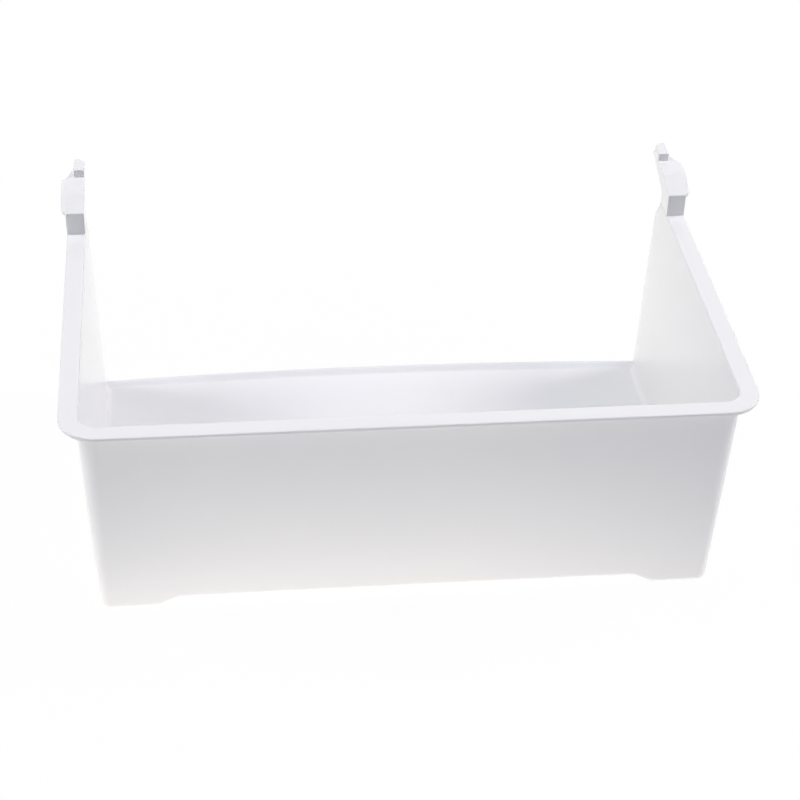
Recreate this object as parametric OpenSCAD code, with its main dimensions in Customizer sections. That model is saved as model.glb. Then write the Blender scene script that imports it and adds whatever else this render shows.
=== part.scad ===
// Freezer drawer, moulded in one piece and open at the back.
// A drafted tub with a flat rim round the front and both sides. Behind the
// rim each side carries a raised lug, which stops the drawer from tipping
// when it is pulled out on its runners.

/* [Rim] */
// Width across the rim, outer edge to outer edge
rim_w = 450; // [380:1:520]
// Front edge of the rim to the riser of the rear lugs
rim_len = 246; // [180:1:320]
// Thickness of the rim
rim_t = 3; // [2.4:0.1:4]
// How far the rim stands out from the wall
rim_out = 10.8; // [6:0.1:16]
// Rounding of the rim's outer edges
rim_edge_r = 1; // [0.4:0.1:1.1]
// Rounding where the rim turns down into the tub
mouth_r = 1.5; // [0.5:0.1:1.5]
// Fillet between the wall and the underside of the rim
under_r = 2; // [0.5:0.1:4]

/* [Tub] */
// Height from the feet to the top of the rim
tub_h = 158; // [110:1:220]
// Thickness of the walls
wall_t = 2.3; // [1.8:0.1:3]
// Thickness of the floor
floor_t = 2.3; // [1.8:0.1:3]
// How far the front and side walls lean out between the feet and the rim
wall_lean = 6.9; // [3:0.1:10]
// Outer radius of the front corners in plan, at the feet
corner_r = 7.5; // [7.5:0.5:14]
// Outer radius where the walls meet the floor
base_r = 6.5; // [4.5:0.5:7]
// Riser to the rear edge of the side walls, at the rim
wall_tail = 30; // [26:1:45]
// How far the side walls' rear edge leans forward at the feet
rear_lean = 8; // [0:0.5:12]
// Height of the corner cut off the side walls under the lugs
rear_cut_h = 15; // [6:0.5:20]
// How far the floor's rear edge bows out at its middle
floor_bow = 6.5; // [1:0.5:10]
// Height of the lip along the floor's rear edge
lip_h = 4; // [2:0.5:8]
// Thickness of the lip
lip_t = 2; // [1.4:0.1:3]

/* [Feet] */
// Height of the feet under the floor
foot_h = 7; // [4:0.5:8]
// Flat width of a foot
foot_w = 29; // [18:1:50]
// Width of the flank from a foot up to the floor
flank_w = 15; // [10:1:24]
// Front edge of the rim to the rear end of a foot's flat
foot_end = 200; // [120:1:225]

/* [Rear lugs] */
// Height of the riser above the rim
riser_h = 17; // [14:0.5:24]
// Thickness of the riser and of the raised flange
lug_t = 3; // [2:0.1:3.5]
// Length of the ramp behind the riser
ramp_len = 19; // [14:0.5:26]
// Rise of the ramp
ramp_rise = 7; // [3:0.5:10]
// Riser to the tip of the lug
lug_len = 57; // [53:0.5:66]
// Riser to the nib that stands on the flange
nib_at = 40; // [34:0.5:46]
// Height of the nib above the flange
nib_h = 5.8; // [3:0.2:9]
// Width of the nib, and of the lug at its tip
nib_w = 7.6; // [5:0.2:9]
// Corner cut off the nib on its inner side
nib_cut = 4; // [1:0.5:4.5]
// Width of the guide ledge outside the raised flange
ledge_w = 3.3; // [1.5:0.1:5]
// Step from the raised flange down to the guide ledge
ledge_step = 1; // [0.4:0.1:1.4]
// Riser to the lead-in corner of the guide ledge
ledge_len = 37; // [30:0.5:42]
// Size of the lead-in cut at that corner
lead_in = 4.3; // [2:0.1:6]
// Riser to the rear edge of the web under the flange, at the rim
web_tail = 20; // [14:0.5:24]
// Radius of the notch behind the web
notch_r = 8; // [5:0.5:9]
// Height above the rim at which the notch starts to turn
notch_h = 3; // [1:0.5:5]
// Slope of the underside of the lug, in degrees
under_slope = 20; // [10:1:24]
// Tip of the lug to the end of the web
web_short = 9; // [6:0.5:14]

/* [Hidden] */

$fn = 64;
arc_steps = 8;
flank_steps = 12;
bow_steps = 24;
past = 1; // how far a cut runs past what it cuts
sink = 0.02; // how far the rim's fillet is let into the wall

rim_top = tub_h;
draft = atan(wall_lean / tub_h);
flange_z = rim_top + riser_h + ramp_rise;
tub_len = rim_len + wall_tail;
depth = rim_len + lug_len;

// Axis that each front corner is turned about
corner_x = rim_w / 2 - rim_out - wall_lean - corner_r;
corner_y = rim_out + wall_lean + corner_r;

floor_z = foot_h + floor_t;
floor_half = corner_x + inner_r(floor_z);
floor_rear = tub_len - rear_lean * (1 - floor_z / tub_h);
lug_w = rim_out + wall_t;
lug_x = rim_w / 2 - lug_w;

// Distance of the wall's faces from the corner axis at height z
function outer_r(z) = corner_r + z * wall_lean / tub_h;
function inner_r(z) = outer_r(z) - wall_t / cos(draft);

function arc(cx, cy, r, from, to) =
    [for (i = [0:arc_steps])
        let (a = from + (to - from) * i / arc_steps)
        [cx + r * cos(a), cy + r * sin(a)]];

// Rounding by r between a floor at base and a wall face inset from the outer
function rounding(base, inset, r) =
    let (
        cz = base + r,
        cx = outer_r(cz) - (inset + r) / cos(draft)
    )
    arc(cx, cz, r, -90, -draft);

// Section of the tub from the corner axis out to a wall face. The section of a
// foot, whose base is below tub_base, joins the wall where the tub's does
function tub_section(base, tub_base, inset, r) = concat(
    [[0, base]],
    rounding(base, inset, r),
    base < tub_base ? [rounding(tub_base, inset, r)[arc_steps]] : []
);

function outer_section(base) = concat(
    tub_section(base, foot_h, 0, base_r),
    [[outer_r(rim_top), rim_top], [0, rim_top]]
);

// The hollow flares at the top, where the rim turns down into it
function hollow_section(base) =
    let (
        cz = rim_top - mouth_r,
        cx = inner_r(cz + mouth_r * sin(draft)) + mouth_r * cos(draft)
    )
    concat(
        tub_section(base, floor_z, wall_t, base_r - wall_t),
        arc(cx, cz, mouth_r, 180 - draft, 90),
        [[cx, rim_top + past], [0, rim_top + past]]
    );

function rim_section() =
    let (
        start = outer_r(rim_top) - wall_t / 2,
        edge = outer_r(rim_top) + rim_out - rim_edge_r,
        cz = rim_top - rim_t - under_r,
        cx = outer_r(cz) + under_r / cos(draft) - sink
    )
    concat(
        [[start, cz + under_r * sin(draft)]],
        arc(cx, cz, under_r, 180 - draft, 90),
        arc(edge, rim_top - rim_t + rim_edge_r, rim_edge_r, -90, 0),
        arc(edge, rim_top - rim_edge_r, rim_edge_r, 0, 90),
        [[start, rim_top]]
    );

// Rear edge of the floor, seen from above
bow_line = [for (i = [-bow_steps:bow_steps])
    let (s = i / bow_steps)
    [s * floor_half, floor_rear + floor_bow * (1 - s * s)]];

// Carries a section, drawn outwards from the corner axis, along the front,
// round both front corners and back along both sides to to_y
module around_tub(to_y) {
    translate([-corner_x, corner_y, 0])
        rotate([90, 0, 90])
            linear_extrude(2 * corner_x)
                mirror([1, 0]) children();
    for (side = [0, 1])
        mirror([side, 0, 0]) {
            translate([corner_x, corner_y, 0])
                rotate([0, 0, -90])
                    rotate_extrude(angle = 90) children();
            translate([corner_x, corner_y, 0])
                rotate([90, 0, 0])
                    mirror([0, 0, 1])
                        linear_extrude(to_y - corner_y) children();
        }
}

// Solid of a section carried round the tub, filled between the corner axes
module tub_form(section, base, top) {
    to_y = tub_len + floor_bow + past;
    around_tub(to_y) polygon(section);
    translate([-corner_x, corner_y, base])
        cube([2 * corner_x, to_y - corner_y, top - base]);
}

// Outline drawn back from the riser and up from the rim, as thick as
// from_x to to_x, standing on the right-hand side of the drawer
module lug_slice(from_x, to_x, outline) {
    translate([from_x, rim_len, rim_top])
        rotate([90, 0, 90])
            linear_extrude(to_x - from_x) polygon(outline);
}

// Space of one foot below the floor. The flanks rise to twice the height of
// the foot, so that they fade into the rounding of the walls above it
module foot_space(t) {
    rise = 2 * foot_h;
    run = 2 * flank_w;
    in_x = corner_x - foot_w + t * foot_h / flank_w;
    end_y = foot_end - t * foot_h / flank_w;
    flank = [for (i = [0:flank_steps])
        let (s = i / flank_steps)
        [run * s, t + rise * (1 - cos(180 * s)) / 2]];
    intersection() {
        rotate([90, 0, 0])
            translate([0, 0, -tub_len])
                linear_extrude(tub_len)
                    polygon(concat(
                        [[rim_w / 2, t]],
                        [for (p = flank) [in_x - p[0], p[1]]],
                        [[rim_w / 2, t + rise]]
                    ));
        rotate([90, 0, 90])
            linear_extrude(rim_w / 2)
                polygon(concat(
                    [[0, t]],
                    [for (p = flank) [end_y + p[0], p[1]]],
                    [[0, t + rise]]
                ));
    }
}

module feet(base, section, t) {
    for (side = [0, 1])
        mirror([side, 0, 0])
            intersection() {
                tub_form(section, base, rim_top);
                foot_space(t);
            }
}

// Everything behind the side walls, apart from the bowed edge of the floor
module behind_tub() {
    far = depth + floor_bow + past;
    cut_z = rim_top - rear_cut_h;
    difference() {
        translate([-rim_w / 2, 0, 0])
            rotate([90, 0, 90])
                linear_extrude(rim_w)
                    polygon([
                        [tub_len - rear_lean - past * rear_lean / tub_h, -past],
                        [tub_len - rear_lean * rear_cut_h / tub_h, cut_z],
                        [rim_len + web_tail, rim_top],
                        [rim_len + web_tail, rim_top + past],
                        [far, rim_top + past],
                        [far, -past]
                    ]);
        linear_extrude(floor_z + lip_h)
            polygon(concat(
                [[-floor_half, corner_y]],
                bow_line,
                [[floor_half, corner_y]]
            ));
    }
}

// Lip along the rear edge of the floor, its ends let into the side walls
module lip() {
    end_x = floor_half + wall_t / 2;
    translate([0, 0, floor_z - floor_t / 2])
        linear_extrude(lip_h + floor_t / 2)
            polygon(concat(
                [[-end_x, floor_rear - lip_t / 2]],
                bow_line,
                [[end_x, floor_rear - lip_t / 2], [end_x, floor_rear - lip_t]],
                [for (i = [2 * bow_steps:-1:0]) bow_line[i] - [0, lip_t]],
                [[-end_x, floor_rear - lip_t]]
            ));
}

module lug() {
    top = riser_h + ramp_rise;
    ramp = atan(ramp_rise / ramp_len);
    knee = lug_t * tan(ramp / 2);
    below = lug_t / cos(ramp) - lug_t * tan(ramp);
    // Upper face of the raised flange, lowered by drop
    function flange_line(drop) = [
        [0, riser_h - drop],
        [ramp_len, top - drop],
        [lug_len, top - drop]
    ];
    function flange_outline(drop, foot) = concat(
        [[0, foot]],
        flange_line(drop),
        [
            [lug_len, top - lug_t],
            [ramp_len + knee, top - lug_t],
            [lug_t, riser_h - below],
            [lug_t, foot]
        ]
    );
    plan = [
        [lug_x, 0],
        [rim_w / 2 + ledge_w, 0],
        [rim_w / 2 + ledge_w, ledge_len],
        [rim_w / 2 + ledge_w - lead_in, ledge_len + lead_in],
        [lug_x + nib_w, lug_len],
        [lug_x, lug_len]
    ];
    intersection() {
        union() {
            lug_slice(lug_x, rim_w / 2, flange_outline(0, -rim_t));
            lug_slice(rim_w / 2 - wall_t, rim_w / 2 + ledge_w,
                flange_outline(ledge_step, riser_h - lug_t));
        }
        translate([0, rim_len, 0])
            linear_extrude(flange_z + past) polygon(plan);
    }
    // Nib at the tip
    translate([lug_x, rim_len, flange_z - lug_t / 2])
        linear_extrude(nib_h + lug_t / 2)
            polygon([
                [0, nib_at],
                [nib_w, nib_at],
                [nib_w, lug_len],
                [nib_cut, lug_len],
                [0, lug_len - nib_cut]
            ]);
    // Web that carries the flange, flush with the inside of the wall
    turn = arc(web_tail + notch_r, notch_h, notch_r, 180, 90 + under_slope);
    under = turn[arc_steps];
    web_end = lug_len - web_short;
    lug_slice(lug_x, lug_x + wall_t, concat(
        [
            [0, -rim_t],
            [0, riser_h - lug_t / 2],
            [ramp_len, top - lug_t / 2],
            [web_end + wall_t, top - lug_t / 2],
            [web_end, under[1] + (web_end - under[0]) * tan(under_slope)]
        ],
        [for (i = [arc_steps:-1:0]) turn[i]],
        [
            [web_tail, 0],
            [web_tail, -rim_t]
        ]
    ));
}

module drawer() {
    color("whitesmoke")
        translate([0, -depth / 2, 0]) {
            difference() {
                union() {
                    tub_form(outer_section(foot_h), foot_h, rim_top);
                    feet(0, outer_section(0), 0);
                    around_tub(rim_len + lug_t) polygon(rim_section());
                }
                tub_form(hollow_section(floor_z), floor_z, rim_top + past);
                feet(floor_t, hollow_section(floor_t), floor_t);
                behind_tub();
            }
            lip();
            for (side = [0, 1])
                mirror([side, 0, 0]) lug();
        }
}

drawer();
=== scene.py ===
import bmesh
import bpy
import math
import numpy as np
from mathutils import Matrix, Vector


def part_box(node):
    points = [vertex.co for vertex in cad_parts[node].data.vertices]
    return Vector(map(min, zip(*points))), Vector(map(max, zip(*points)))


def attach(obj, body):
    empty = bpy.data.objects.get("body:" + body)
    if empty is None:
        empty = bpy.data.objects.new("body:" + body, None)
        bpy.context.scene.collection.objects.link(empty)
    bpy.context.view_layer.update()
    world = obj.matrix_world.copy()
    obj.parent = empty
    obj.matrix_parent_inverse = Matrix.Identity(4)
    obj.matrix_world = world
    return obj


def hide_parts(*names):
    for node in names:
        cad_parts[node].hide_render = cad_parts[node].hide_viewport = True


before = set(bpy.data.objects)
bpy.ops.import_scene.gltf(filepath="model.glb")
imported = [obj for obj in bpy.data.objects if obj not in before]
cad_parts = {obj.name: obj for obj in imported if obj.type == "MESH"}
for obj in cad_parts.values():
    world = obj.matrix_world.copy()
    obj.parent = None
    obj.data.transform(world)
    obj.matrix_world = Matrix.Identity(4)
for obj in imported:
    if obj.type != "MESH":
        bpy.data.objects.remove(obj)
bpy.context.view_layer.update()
nodeLow, nodeHigh = (np.array(corner) * 1000 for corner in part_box("drawer"))
print("frame loaded")

# Lengths are in millimetres, with x to the right, y back from the rim's front
# edge and z up from the feet. They turn into the frame's metres in the mesh.

rim = {
    "thick": 3.0,
    "out": 10.8,          # from the wall's face to the rim's edge
    "edgeRound": 1.0,
    "mouthRound": 1.5,    # where the rim turns down into the tub
    "underRound": 2.0,    # between the wall and the rim's underside
}

tub = {
    "wall": 2.3,
    "floor": 2.3,
    "lean": 6.9,          # of the walls, from the feet to the rim
    "corner": 7.5,        # outer radius in plan, at the feet
    "baseRound": 6.5,     # outer radius between walls and floor
    "tail": 30.0,         # rear edge behind the risers, if it went up to the rim
    "rearLean": 8.0,      # of the rear edge, from the rim to the feet
    "rearCut": 15.0,      # height of the corner that is cut off under the lugs
    "bow": 6.5,           # of the floor's rear edge
    "lip": 4.0,           # height over the floor
    "lipThick": 1.6,      # at its crest
    "lipSlope": 3.2,      # its sloping front, back from the foot to the crest
    "lipBend": 0.8,       # half a bend's length, at the slope's foot and crest
    "edge": 0.5,          # rounding of the rear edge
}

foot = {
    "height": 7.0,        # under the open floor
    "width": 29.0,        # of its flat, inwards from the corner axis
    "flank": 19.0,
    "end": 200.0,         # of its flat
    "inset": 1.1,         # of the hollow's flank behind the outer one
}

# How many points lie along each stretch of the tub's grids
stations = {
    "foot": 4,
    "flank": 14,
    "middle": 14,         # from the flank to the middle of the drawer
    "side": 24,           # from the front corner to the foot's end
    "tail": 4,            # from the foot's flank to the risers
    "rear": 5,            # from the risers to the lip
    "corner": 22,
    "floorEnd": 3,
    "baseRound": 10,
    "wall": 10,
    "rearCut": 3,
    "underRound": 7,
    "under": 4,
    "edgeRound": 6,
    "top": 6,
    "mouthRound": 8,
    "lip": 7,
}

lug = {
    "riser": 17.0,        # height over the rim
    "thick": 3.0,
    "ramp": 19.0,         # length back
    "rampRise": 7.0,
    "length": 57.0,       # from the riser to the tip
    "bendRound": 1.0,     # between riser and ramp
    "kneeRound": 14.0,    # between ramp and flange
    "ledge": 3.3,         # outwards from the rim's edge
    "ledgeStep": 0.06,    # down from the flange
    "ledgeLift": 0.04,    # its underside over the flange's
    "ledgeIn": 0.2,       # its inner side beyond its roundings
    "ledgeLength": 37.0,
    "ledgeRound": 1.3,
    "ledgeNose": 2.9,     # how far its front end draws in
    "noseLength": 4.0,
    "leadIn": 4.3,        # slanting corner behind the ledge
    "nibAt": 40.0,
    "nibHeight": 5.8,
    "nibWidth": 7.6,
    "nibCut": 4.0,
    "webTail": 20.0,      # its lower end behind the riser
    "webShort": 9.0,      # its upper end before the tip
    "notch": 8.0,
    "notchHeight": 3.0,
    "underSlope": math.radians(20),
    "edge": 0.45,
    "cornerRound": 0.6,
    "sunk": 0.1,          # from the rim's faces to the ends of riser and web in it
    "apart": 0.01,        # of nib and web from the sides of flange and wall
}

rimHalf = nodeHigh[0] - lug["ledge"]
rimTop = nodeHigh[2] - lug["riser"] - lug["rampRise"] - lug["nibHeight"]
rimLength = nodeHigh[1] - nodeLow[1] - lug["length"]
rimEnd = rimLength + lug["thick"] / 2          # inside the riser
rimStep = 0.9                                  # between the stations there
tubLength = rimLength + tub["tail"]
slope = tub["lean"] / rimTop
draft = math.atan(slope)
cornerX = rimHalf - rim["out"] - tub["lean"] - tub["corner"]
cornerY = rim["out"] + tub["lean"] + tub["corner"]
floorTop = foot["height"] + tub["floor"]
lipMargin = tub["lipThick"] + tub["lipSlope"] + tub["lipBend"]
cutZ = rimTop - tub["rearCut"]

lugX = rimHalf - rim["out"] - tub["wall"]
kneeY = rimLength + lug["ramp"]
tipY = rimLength + lug["length"]
ledgeY = rimLength + lug["ledgeLength"]
leadX = rimHalf + lug["ledge"] - lug["leadIn"]
leadY = ledgeY + lug["leadIn"]
bendZ = rimTop + lug["riser"]
topZ = bendZ + lug["rampRise"]
climb = math.atan2(lug["rampRise"], lug["ramp"])
kneeUnder = kneeY + lug["thick"] * math.tan(climb / 2)


def steps(count, start=0.0, end=1.0):
    # Evenly spaced numbers, with both ends
    return start + (end - start) * np.linspace(0, 1, count)


def outerR(z):
    # Distance of the wall's outer face from the corner axis, at height z
    return tub["corner"] + z * slope


def innerR(z):
    # The same for the inner face, which lies the wall's thickness inside it
    return outerR(z) - tub["wall"] / math.cos(draft)


def dip(x, y, inset):
    # One on a foot, nought on the open floor, and half a cosine wave between
    # them, both across the drawer and back from the front
    def fade(distance):
        return (1 + np.cos(np.pi * np.clip(distance / foot["flank"], 0, 1))) / 2
    inner = cornerX - foot["width"] + inset
    return fade(inner - np.abs(x)) * fade(y - foot["end"] + inset)


def floorHeights(x, y):
    # Underside and top of the floor: both drop by the dip times the foot's height
    return (foot["height"] * (1 - dip(x, y, 0)),
            floorTop - foot["height"] * dip(x, y, foot["inset"]))


def rearY(x, z):
    # Rear edge of the tub: a line that leans forward with depth, cut back above
    # cutZ, plus a parabola across the floor
    heights = [0, cutZ, rimTop]
    back = [tubLength - tub["rearLean"],
            tubLength - tub["rearLean"] * tub["rearCut"] / rimTop,
            rimLength + lug["webTail"]]
    half = cornerX + innerR(floorTop)
    return np.interp(z, heights, back) + tub["bow"] * np.clip(1 - (x / half) ** 2, 0, 1)


def bend(centreR, centreZ, radius, start, end, count):
    # Arc in the section, as (r, z) along the last two axes
    a = np.radians(steps(count, start, end))
    r = centreR + radius * np.cos(a)
    z = centreZ + radius * np.sin(a)
    return np.stack(np.broadcast_arrays(r, z), -1)


def line(a, b, count):
    # Steps from point a to point b, without a itself
    s = steps(count + 1)[1:, None]
    return a * (1 - s) + b * s


def skin(base, inset, share, top):
    # One face of the tub's section, outwards from the corner axis: floor, arc,
    # and wall up to the point top where the rim begins, or to the bare corner
    # where share is nought
    base = base[:, None]
    share = share[:, None, None]
    radius = tub["baseRound"] - inset
    z = base + radius
    r = outerR(z) - (inset + radius) / math.cos(draft)
    arc = bend(r, z, radius, -90, -math.degrees(draft), stations["baseRound"])
    start = np.stack([0 * r, base], -1)
    shift = inset / math.cos(draft)
    cut = np.array([outerR(cutZ) - shift, cutZ])
    bare = np.array([outerR(rimTop) - shift, rimTop])
    floorLine = line(start, arc[:, :1], stations["floorEnd"])[:, :-1]
    lower = line(arc[:, -1:], cut[None, None], stations["wall"])
    upper = line(cut[None, None], share * top + (1 - share) * bare, stations["rearCut"])
    return np.concatenate([start, floorLine, arc, lower, upper], 1), bare


def section(outerBase, innerBase, share):
    # Closed section of tub and rim at each station: the outer face from the
    # corner axis to the rim's edge, then the inner face back to the axis.
    # Where share is nought the rim shrinks into the wall's outer corner.
    c, s = math.cos(draft), math.sin(draft)
    angle = math.degrees(draft)
    fillet, mouth, edge = rim["underRound"], rim["mouthRound"], rim["edgeRound"]
    edgeR = outerR(rimTop) + rim["out"] - edge
    under = rimTop - rim["thick"]
    turnR = outerR(under - fillet) + fillet / c
    turn = bend(turnR, under - fillet, fillet, 180 - angle, 90, stations["underRound"])
    lowEdge = bend(edgeR, under + edge, edge, -90, 0, stations["edgeRound"])
    topEdge = bend(edgeR, rimTop - edge, edge, 0, 90, stations["edgeRound"])
    mouthZ = rimTop - mouth
    mouthR = innerR(mouthZ + mouth * s) + mouth * c
    mouthArc = bend(mouthR, mouthZ, mouth, 90, 180 - angle, stations["mouthRound"])
    outer, outerBare = skin(outerBase, 0, share, turn[0])
    inner, innerBare = skin(innerBase, tub["wall"], share, mouthArc[-1])
    underLine = line(turn[-1], lowEdge[0], stations["under"])[:-1]
    topLine = line(topEdge[-1], mouthArc[0], stations["top"])[:-1]
    rimLow = np.concatenate([turn[1:], underLine, lowEdge])
    rimHigh = np.concatenate([topEdge, topLine])
    share = share[:, None, None]
    parts = [outer,
             share * rimLow + (1 - share) * outerBare,
             share * rimHigh + (1 - share) * outerBare,
             share * mouthArc[:-1] + (1 - share) * innerBare,
             inner[:, ::-1]]
    return np.concatenate(parts, 1), outer.shape[1]


def quads(rows, columns):
    # Faces of a grid, as indices into its points taken row by row
    n = np.arange(rows * columns).reshape(rows, columns)
    return np.stack([n[:-1, :-1], n[1:, :-1], n[1:, 1:], n[:-1, 1:]], -1).reshape(-1, 4)


class Surface:
    # Grids and flat faces that are joined into one mesh
    def __init__(self):
        self.points = []
        self.faces = []
        self.count = 0

    def add(self, points, faces):
        points = points.reshape(-1, 3)
        self.points.append(points)
        self.faces += [[i + self.count for i in face] for face in faces]
        self.count += len(points)

    def grid(self, points):
        self.add(points, quads(*points.shape[:2]).tolist())

    def flat(self, points):
        self.add(points, [list(range(len(points)))])

    def tube(self, rings):
        # Closed rings, one after the other, with both ends shut
        self.grid(np.concatenate([rings, rings[:, :1]], 1))
        self.flat(rings[0])
        self.flat(rings[-1])

    def mirrored(self, other):
        # The other surface as it is, and once more with x turned to -x
        points = np.concatenate(other.points)
        for side in (1, -1):
            self.add(points * [side, 1, 1], other.faces)


def tubSurface():
    # The section carried back along both sides, round both front corners and
    # along the front, with the floor between the corner axes. The side and the
    # floor share their stations along y, the front and the floor those along x.
    surface = Surface()
    footX, flankX = foot["width"], foot["width"] + foot["flank"]
    x = np.concatenate([
        steps(stations["foot"], 0, footX)[:-1],
        steps(stations["flank"], footX, flankX)[:-1],
        steps(stations["middle"], flankX, cornerX)]) - cornerX
    x = np.concatenate([x, -x[-2::-1]])
    footY, flankY = foot["end"] - foot["inset"], foot["end"] + foot["flank"]
    rear = stations["rear"]
    y = np.concatenate([
        steps(stations["side"], cornerY, footY)[:-1],
        steps(stations["flank"], footY, flankY),
        steps(stations["tail"], flankY, rimEnd - rimStep)[1:],
        [rimEnd, rimEnd + rimStep],
        np.full(rear, rimEnd + 2 * rimStep)])
    back = np.concatenate([np.zeros(len(y) - rear), steps(rear)])
    share = (np.arange(len(y)) < len(y) - rear - 1) * 1.0

    def along(y, back, x, z):
        # From the stations along y to the lip's foot, by the share back
        return y + back * (rearY(x, z) - lipMargin - y)

    # Sides
    profile, size = section(*floorHeights(np.full(len(y), cornerX), y), share)
    sideX, sideZ = cornerX + profile[..., 0], profile[..., 1]
    sideY = along(y[:, None], back[:, None], sideX, sideZ)
    side = Surface()
    side.grid(np.stack([sideX, sideY, sideZ], -1))

    # Front corners, from the side round to the front
    turn = steps(stations["corner"], 0, math.pi / 2)
    profile = section(0 * turn, 0 * turn + tub["floor"], 0 * turn + 1)[0]
    r, z, turn = profile[..., 0], profile[..., 1], turn[:, None]
    side.grid(np.stack([cornerX + r * np.cos(turn), cornerY - r * np.sin(turn), z], -1))
    surface.mirrored(side)

    # Front
    profile = section(*floorHeights(x, np.full(len(x), cornerY)), 0 * x + 1)[0]
    r, z = profile[..., 0], profile[..., 1]
    surface.grid(np.stack([x[:, None] + 0 * r, cornerY - r, z], -1))

    # Floor, below and above
    gridX, gridY = np.meshgrid(x, y)
    floors = []
    for z in floorHeights(gridX, gridY):
        floors.append(np.stack([gridX, along(gridY, back[:, None], gridX, z), z], -1))
        surface.grid(floors[-1])

    # Rear edge: up one wall, across the floor and up the other, with the lip
    # on the floor's part. Its rows go from the inner face over to the outer.
    last = np.stack([sideX[-1], sideY[-1], sideZ[-1]], -1)
    wallOut, wallIn = last[:size], last[::-1][:size]
    flip = np.array([-1, 1, 1])
    outer = np.concatenate([wallOut[:0:-1] * flip, floors[0][-1], wallOut[1:]])
    inner = np.concatenate([wallIn[:0:-1] * flip, floors[1][-1], wallIn[1:]])
    rows = rearRows(inner, outer)
    surface.grid(rows)
    surface.flat(rows[:, 0])
    surface.flat(rows[:, -1])
    return surface


def rearRows(inner, outer):
    # From the inner face: a bend up to the lip's sloping front, a bend over to
    # its top, an arc over its rear edge and another down to the outer face. The
    # bends are parabolas with their corners at the slope's ends. The crest is
    # level, so the lip runs out in the rounding of the walls.
    innerX, _, innerZ = inner.T
    rearIn = rearY(innerX, innerZ)
    rearOut = rearY(outer[:, 0], outer[:, 2])
    rise = np.clip(floorTop + tub["lip"] - innerZ, 0, None)
    part = rise / tub["lip"]
    crestY = rearIn - tub["lipThick"]
    startY = crestY - tub["lipSlope"] * part
    reach = tub["lipBend"] * part
    lift = reach * tub["lip"] / tub["lipSlope"]
    s = steps(stations["lip"])[:, None]
    quarter = steps(stations["lip"], 0, math.pi / 2)[:, None]
    rows = [inner[None]]
    for corner, height, first, last in (
            (startY, innerZ, (-reach, 0), (reach, lift)),
            (crestY, innerZ + rise, (-reach, -lift), (reach, 0))):
        y = corner + (1 - s) ** 2 * first[0] + s ** 2 * last[0]
        z = height + (1 - s) ** 2 * first[1] + s ** 2 * last[1]
        rows.append(np.stack([0 * s + innerX, y, z], -1))
    crest = np.stack([innerX, innerZ + rise], -1)
    base = outer[:, [0, 2]]
    way = base - crest
    way /= np.linalg.norm(way, axis=1, keepdims=True)
    edge = tub["edge"]
    for start, direction, rear, turn in (
            (crest, way, rearIn, quarter), (base, -way, rearOut, quarter[::-1])):
        place = start + direction * edge * (1 - np.cos(turn))[..., None]
        back = rear - edge * (1 - np.sin(turn))
        rows.append(np.stack([place[..., 0], back, place[..., 1]], -1))
    rows.append(outer[None])
    return np.concatenate(rows)


def roundedLine(points, radii, count=7):
    # A line through the points, with an arc of the given radius at each inner
    # one: the arc touches both stretches at radius * tan(half the turn)
    points = np.array(points, float)
    made = [points[:1]]
    for before, at, after, radius in zip(points, points[1:], points[2:], radii):
        a = (before - at) / np.linalg.norm(before - at)
        b = (after - at) / np.linalg.norm(after - at)
        half = math.acos(np.clip(a @ b, -1, 1)) / 2
        centre = at + (a + b) / np.linalg.norm(a + b) * radius / math.sin(half)
        first = at + a * radius / math.tan(half) - centre
        last = at + b * radius / math.tan(half) - centre
        whole = math.pi - 2 * half
        s = steps(count)[:, None]
        arc = first * np.sin((1 - s) * whole) + last * np.sin(s * whole)
        made.append(centre + arc / math.sin(whole))
    made.append(points[-1:])
    return np.concatenate(made)


def bar(top, bottom, lowX, highX, edge):
    # A strip with a rounded rectangle for its section, between the lines top
    # and bottom in the (y, z) plane and from lowX to highX. At both ends the
    # section draws in along a quarter circle.
    surface = Surface()
    lowX, highX = (np.broadcast_to(v, len(top)) for v in (lowX, highX))
    inset = np.zeros(len(top))
    quarter = steps(4, 0, math.pi / 2)
    for at, beside in ((0, 1), (-1, -2)):
        way = top[at] - top[beside]
        way /= np.linalg.norm(way)
        out = (edge * (np.sin(quarter) - 1))[:, None] * way
        values = (top, bottom, lowX, highX, inset)
        ends = (top[at] + out, bottom[at] + out, 0 * quarter + lowX[at],
                0 * quarter + highX[at], edge * (1 - np.cos(quarter)))
        if at == 0:
            joined = [np.concatenate([b[::-1], a[1:]]) for a, b in zip(values, ends)]
        else:
            joined = [np.concatenate([a[:-1], b]) for a, b in zip(values, ends)]
        top, bottom, lowX, highX, inset = joined
    thick = np.linalg.norm(top - bottom, axis=1)[:, None]
    wide = (highX - lowX)[:, None]
    radius = (edge - inset)[:, None]
    across, up = [], []
    for start, farX, farZ in ((0, 1, 1), (90, 0, 1), (180, 0, 0), (270, 1, 0)):
        a = np.radians(steps(5, start, start + 90))
        across.append((wide - edge if farX else edge) + radius * np.cos(a))
        up.append((thick - edge if farZ else edge) + radius * np.sin(a))
    across, up = np.concatenate(across, 1), np.concatenate(up, 1)
    share = (up / thick)[..., None]
    place = bottom[:, None] * (1 - share) + top[:, None] * share
    surface.tube(np.concatenate([(lowX[:, None] + across)[..., None], place], -1))
    return surface


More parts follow.
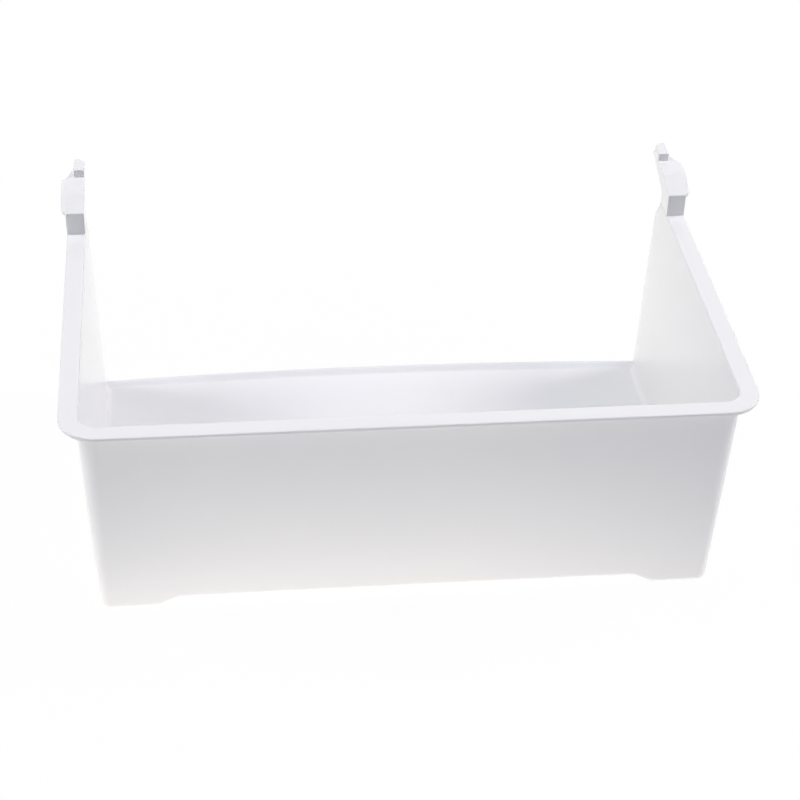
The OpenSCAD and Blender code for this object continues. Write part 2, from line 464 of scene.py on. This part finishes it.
def plate(outline, low, high, order):
    # A flat body with a closed outline, rounded at each corner, from low to high
    # across it. Towards both faces the outline draws in along a quarter circle,
    # each corner by the mitre of its sides. order names the axes of outline and
    # height.
    surface = Surface()
    edge = lug["edge"]
    middle = (outline[0] + outline[-1]) / 2
    radii = [lug["cornerRound"]] * len(outline)
    outline = roundedLine([middle, *outline, middle], radii, 4)[:-1]
    following = np.roll(outline, -1, 0)
    ahead = following - outline
    ahead /= np.linalg.norm(ahead, axis=1, keepdims=True)
    normal = np.stack([ahead[:, 1], -ahead[:, 0]], -1)
    before = np.roll(normal, 1, 0)
    mitre = (normal + before) / (1 + (normal * before).sum(1, keepdims=True))
    area = (outline[:, 0] * following[:, 1] - outline[:, 1] * following[:, 0]).sum()
    mitre *= math.copysign(1, area)
    quarter = steps(5, 0, math.pi / 2)
    inset = edge * (1 - np.cos(quarter))
    lift = edge * (1 - np.sin(quarter))
    inset = np.concatenate([inset[::-1], inset])
    height = np.concatenate([low + lift[::-1], high - lift])
    rings = outline - inset[:, None, None] * mitre
    heights = np.broadcast_to(height[:, None, None], rings.shape[:2] + (1,))
    flat = np.concatenate([rings, heights], -1)
    points = np.empty_like(flat)
    points[..., order] = flat
    surface.tube(points)
    return surface


def withStations(path, turns):
    # The path's last stretch is level, and gets stations where the plan turns
    level = np.array([[y, path[-1, 1]] for y in turns])
    return np.concatenate([path[:-1], level])


def flangeBar():
    # Riser, ramp and flange of the right-hand lug: up from inside the rim, back
    # up the ramp and level to the tip, narrowing there to the nib's width
    thick = lug["thick"]
    under = thick / math.cos(climb) - thick * math.tan(climb)
    baseZ = rimTop - rim["thick"] + lug["sunk"]
    back = rimLength + thick
    radii = (lug["bendRound"], lug["kneeRound"])
    top = roundedLine(
        [(rimLength, baseZ), (rimLength, bendZ), (kneeY, topZ), (tipY, topZ)], radii)
    bottom = roundedLine(
        [(back, baseZ), (back, bendZ - under), (kneeUnder, topZ - thick), (tipY, topZ - thick)],
        radii)
    narrow = leadY - (rimHalf - leadX)
    top, bottom = (withStations(path, [ledgeY, narrow, leadY, tipY]) for path in (top, bottom))
    widths = [rimHalf, leadX, lugX + lug["nibWidth"]]
    outX = np.interp(top[:, 0], [narrow, leadY, tipY], widths)
    return bar(top, bottom, lugX, outX, lug["edge"])


def ledgeBar():
    # Ledge outside the ramp and the flange and let into them. Its front end draws
    # in along a quarter ellipse, and its rear end slants in by the lead-in.
    thick, edge = lug["thick"], lug["ledgeRound"]
    quarter = steps(6, 0, math.pi / 2)
    noseY = rimLength + lug["noseLength"] * (1 - np.cos(quarter))
    noseY[1:] += edge
    rise = (noseY - rimLength) * lug["rampRise"] / lug["ramp"]
    paths = []
    for knee, down in ((kneeY, lug["ledgeStep"]), (kneeUnder, thick - lug["ledgeLift"])):
        path = roundedLine(
            [(rimLength, bendZ - down), (knee, topZ - down), (tipY, topZ - down)],
            [lug["kneeRound"]])
        nose = np.stack([noseY, path[0, 1] + rise], -1)
        paths.append(np.concatenate([nose, withStations(path, [ledgeY, leadY])[1:]]))
    reach = rimHalf + lug["ledge"]
    outX = np.interp(paths[0][:, 0], [ledgeY, leadY], [reach, leadX])
    outX[:len(quarter)] = reach - lug["ledgeNose"] * (1 - np.sin(quarter))
    return bar(*paths, leadX - 2 * edge - lug["ledgeIn"], outX, edge)


def nibPlate():
    # Upright block on the flange's tip, with one rear corner cut off
    near, far = lug["nibAt"], lug["length"] - lug["apart"]
    left, right = lug["apart"], lug["nibWidth"] - lug["apart"]
    outline = np.array([
        (left, near), (right, near), (right, far), (lug["nibCut"], far),
        (left, lug["length"] - lug["nibCut"])]) + [lugX, rimLength]
    return plate(outline, topZ - lug["thick"] / 2, topZ + lug["nibHeight"], [0, 1, 2])


def webPlate():
    # Web under ramp and flange, in line with the wall: down the riser, and back
    # up from the rim in an arc that turns into a straight slope
    turn = np.radians(steps(9, 180, 90 + math.degrees(lug["underSlope"])))[::-1]
    notch = np.stack([lug["webTail"] + lug["notch"] * (1 + np.cos(turn)),
                      lug["notchHeight"] + lug["notch"] * np.sin(turn)], -1)
    end = lug["length"] - lug["webShort"]
    rise = notch[0, 1] + (end - notch[0, 0]) * math.tan(lug["underSlope"])
    inside = lug["thick"] / 2
    high = topZ - rimTop - inside
    outline = np.concatenate([
        [(inside, -lug["sunk"]), (inside, lug["riser"] - inside),
         (lug["ramp"], high), (end + tub["wall"], high), (end, rise)],
        notch, [(lug["webTail"], -lug["sunk"])]]) + [rimLength, rimTop]
    apart = lug["apart"]
    return plate(outline, lugX + apart, lugX + tub["wall"] - apart, [1, 2, 0])


def meshObject(name, surface):
    # Joins what touches, turns every closed body outwards, and weights each
    # point's normal by the areas of its faces, which keeps flat faces flat
    mesh = bpy.data.meshes.new(name)
    points = np.concatenate(surface.points) + [0, nodeLow[1], 0]
    mesh.from_pydata((points / 1000).tolist(), [], surface.faces)
    work = bmesh.new()
    work.from_mesh(mesh)
    bmesh.ops.remove_doubles(work, verts=work.verts, dist=2e-6)
    bmesh.ops.dissolve_degenerate(work, edges=work.edges, dist=1e-6)
    bmesh.ops.recalc_face_normals(work, faces=work.faces)
    openEdges = sum(not edge.is_manifold for edge in work.edges)
    work.to_mesh(mesh)
    work.free()
    print(name, len(mesh.polygons), "faces,", openEdges, "open edges")
    mesh.shade_smooth()

    faceCount = len(mesh.polygons)
    corners = np.empty(len(mesh.loops), np.int32)
    areas = np.empty(faceCount)
    normals = np.empty(faceCount * 3)
    mesh.loops.foreach_get("vertex_index", corners)
    mesh.polygons.foreach_get("area", areas)
    mesh.polygons.foreach_get("normal", normals)
    owners = np.repeat(np.arange(faceCount), [len(p.vertices) for p in mesh.polygons])
    weighted = (normals.reshape(-1, 3) * areas[:, None])[owners]
    sums = np.stack([
        np.bincount(corners, weighted[:, axis], len(mesh.vertices)) for axis in range(3)], -1)
    sums /= np.maximum(np.linalg.norm(sums, axis=1, keepdims=True), 1e-12)
    mesh.normals_split_custom_set_from_vertices(sums.tolist())

    piece = bpy.data.objects.new(name, mesh)
    bpy.context.scene.collection.objects.link(piece)
    return piece


class Wire:
    # A socket of the graph. Python's operators on it add Math nodes.
    def __init__(self, graph, socket):
        self.graph = graph
        self.socket = socket

    def maths(self, operation, *values):
        inputs = dict(enumerate(values))
        return self.graph.add("ShaderNodeMath", {"operation": operation}, inputs)

    def __add__(self, other):
        return self.maths("ADD", self, other)

    def __rsub__(self, other):
        return self.maths("SUBTRACT", other, self)

    def __mul__(self, other):
        return self.maths("MULTIPLY", self, other)

    __radd__ = __add__
    __rmul__ = __mul__

    def ramp(self, low, high):
        # Nought at low and below, one at high and above, smooth between them
        return self.graph.add(
            "ShaderNodeMapRange",
            {"interpolation_type": "SMOOTHSTEP"},
            {"Value": self, "From Min": low, "From Max": high},
        )


class Graph:
    # The nodes of one material or of the world
    def __init__(self, owner):
        owner.use_nodes = True
        self.tree = owner.node_tree
        self.tree.nodes.clear()

    def add(self, kind, settings, inputs, output=0):
        node = self.tree.nodes.new(kind)
        for name, value in settings.items():
            setattr(node, name, value)
        for name, value in inputs.items():
            if isinstance(value, Wire):
                self.tree.links.new(value.socket, node.inputs[name])
            else:
                node.inputs[name].default_value = value
        return Wire(self, node.outputs[output] if node.outputs else None)

    def place(self):
        return self.add("ShaderNodeTexCoord", {}, {}, output="Object")

    def ray(self, kind):
        return self.add("ShaderNodeLightPath", {}, {}, output=kind)

    def mirrored(self):
        # One for what is seen in a reflection or through glass
        return self.ray("Is Glossy Ray") + self.ray("Is Transmission Ray")

    def noise(self, place, scale, detail):
        inputs = {"Vector": place, "Scale": scale, "Detail": detail}
        return self.add("ShaderNodeTexNoise", {}, inputs)

    def mixShader(self, factor, first, second):
        return self.add("ShaderNodeMixShader", {}, {0: factor, 1: first, 2: second})


plastic = {
    "grain": 900.0,       # scales of the noises, per metre
    "mottle": 38.0,
    "drift": 6.0,
    "mottleShare": 0.3,
    "driftShare": 0.7,
    "range": (0.3, 0.7),  # of the mixed noise, from the first white to the second
    "whites": ((0.850, 0.856, 0.868, 1), (0.868, 0.872, 0.880, 1)),
    "bump": 0.06,
    "bumpDepth": 0.0002,
    "roughness": 0.19,
    "ior": 1.49,
    "specular": 0.375,
}


def whitePlastic():
    # Satin white moulding: a fine grain, soft mottling and a faint drift of the white
    material = bpy.data.materials.new("white_plastic")
    graph = Graph(material)
    place = graph.place()
    grain = graph.noise(place, plastic["grain"], 2.0)
    mottle = graph.noise(place, plastic["mottle"], 3.0)
    drift = graph.noise(place, plastic["drift"], 1.0)
    mixed = plastic["driftShare"] * drift + plastic["mottleShare"] * mottle
    colour = graph.add(
        "ShaderNodeMix",
        {"data_type": "RGBA"},
        {"Factor": mixed.ramp(*plastic["range"]), 6: plastic["whites"][0], 7: plastic["whites"][1]},
        output=2,
    )
    bump = graph.add(
        "ShaderNodeBump",
        {},
        {"Height": grain, "Strength": plastic["bump"], "Distance": plastic["bumpDepth"]},
    )
    surface = graph.add(
        "ShaderNodeBsdfPrincipled",
        {},
        {"Base Color": colour, "Roughness": plastic["roughness"], "IOR": plastic["ior"],
         "Specular IOR Level": plastic["specular"], "Normal": bump},
    )
    graph.add("ShaderNodeOutputMaterial", {}, {"Surface": surface})
    return material


whole = tubSurface()
for part in (flangeBar(), ledgeBar(), nibPlate(), webPlate()):
    whole.mirrored(part)
drawer = meshObject("drawer_body", whole)
drawer.data.materials.append(whitePlastic())
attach(drawer, "root")
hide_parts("drawer")
print("drawer made")

table = {
    "half": 6.0,          # metres from its middle to its edges
    "matte": (0.9, 0.9, 0.9, 1),
    "shadow": 0.04,       # how much of the shadow the camera sees
    "glow": 3.05,
    "glowShare": 0.5,     # beside the matte white, in what lights the drawer
    "glowColour": (1, 0.948, 0.882, 1),
    "glowMiddle": (-0.06, 0, 0),
    "glowFull": 0.12,     # metres from its middle, full up to here
    "glowEnd": 0.52,      # and faded out here
}


def groundMaterial():
    # White to the camera and in reflections, with a little of the shadow that
    # falls on it. On the drawer it shines like a light table.
    material = bpy.data.materials.new("white_ground")
    graph = Graph(material)
    camera = graph.ray("Is Camera Ray")
    distance = graph.add(
        "ShaderNodeVectorMath",
        {"operation": "DISTANCE"},
        {0: graph.place(), 1: table["glowMiddle"]},
        output="Value",
    )
    fade = distance.ramp(table["glowFull"], table["glowEnd"])
    matte = graph.add("ShaderNodeBsdfDiffuse", {}, {"Color": table["matte"]})
    light = {"Color": table["glowColour"], "Strength": table["glow"]}
    glow = graph.add("ShaderNodeEmission", {}, light)
    share = (table["glowShare"] - table["glowShare"] * fade) * (1 - camera)
    white = graph.add("ShaderNodeEmission", {}, {"Color": (1, 1, 1, 1), "Strength": 1.0})
    seen = camera * (1 - table["shadow"] + table["shadow"] * fade) + graph.mirrored()
    surface = graph.mixShader(seen, graph.mixShader(share, matte, glow), white)
    graph.add("ShaderNodeOutputMaterial", {}, {"Surface": surface})
    return material


def whiteWorld():
    # White to the camera and in reflections, and no light on the drawer
    world = bpy.data.worlds.new("studio")
    bpy.context.scene.world = world
    graph = Graph(world)
    seen = graph.ray("Is Camera Ray") + graph.mirrored()
    dark = graph.add("ShaderNodeBackground", {}, {"Strength": 0.0})
    white = graph.add("ShaderNodeBackground", {}, {"Color": (1, 1, 1, 1), "Strength": 1.0})
    graph.add("ShaderNodeOutputWorld", {}, {"Surface": graph.mixShader(seen, dark, white)})


groundMesh = bpy.data.meshes.new("ground")
groundCorners = [(-1, -1), (1, -1), (1, 1), (-1, 1)]
groundMesh.from_pydata(
    [(x * table["half"], y * table["half"], 0) for x, y in groundCorners], [], [(0, 1, 2, 3)])
ground = bpy.data.objects.new("ground", groundMesh)
ground.data.materials.append(groundMaterial())
bpy.context.scene.collection.objects.link(ground)
whiteWorld()

lampAim = Vector((0, 0, 0.08))                 # the middle of the drawer
leftColour = (1.0, 0.982, 0.972)
rightColour = (1.0, 0.955, 0.962)
# Each lamp's place, width and height in metres, power in watts, and colour
lamps = {
    "lamp_top": ((0.0, 0.0, 2.2), 2.0, 2.0, 8.3, (1, 1, 1)),
    "lamp_rear": ((0.19, 1.68, 1.12), 0.66, 0.42, 1.46, (0.79, 0.79, 1.0)),
    "lamp_front": ((0.0, -1.6, 1.8), 1.6, 1.6, 10.6, (0.73, 0.81, 1.0)),
    "lamp_left": ((-2.0, 0.2, 1.2), 1.5, 1.5, 18.9, leftColour),
    "lamp_left_high": ((-1.6, 0.2, 1.8), 1.0, 1.0, 14.7, leftColour),
    "lamp_right": ((2.0, 0.2, 1.2), 1.5, 1.5, 16.8, rightColour),
    "lamp_right_high": ((1.6, 0.2, 1.8), 1.0, 1.0, 20.2, rightColour),
}
for name, (place, width, height, power, colour) in lamps.items():
    lamp = bpy.data.lights.new(name, "AREA")
    lamp.shape = "RECTANGLE"
    lamp.size = width
    lamp.size_y = height
    lamp.energy = power
    lamp.color = colour
    holder = bpy.data.objects.new(name, lamp)
    holder.location = place
    holder.rotation_euler = (lampAim - Vector(place)).to_track_quat("-Z", "Y").to_euler()
    bpy.context.scene.collection.objects.link(holder)
print("lights and floor made")

camera = {
    "place": (-0.13788, -1.15160, 0.90346),
    "yaw": math.radians(-7.162),
    "pitch": math.radians(35.718),
    "roll": math.radians(1.885),
    "lens": 90.05,
    "sensor": 36.0,
}
lens = bpy.data.cameras.new("camera")
lens.lens = camera["lens"]
lens.sensor_width = camera["sensor"]
eye = bpy.data.objects.new("camera", lens)
eye.matrix_world = (
    Matrix.Translation(camera["place"])
    @ Matrix.Rotation(camera["yaw"], 4, "Z")
    @ Matrix.Rotation(math.pi / 2 - camera["pitch"], 4, "X")
    @ Matrix.Rotation(camera["roll"], 4, "Z")
)
bpy.context.scene.collection.objects.link(eye)
bpy.context.scene.camera = eye
bpy.context.scene.view_settings.view_transform = "Standard"

print("camera set")
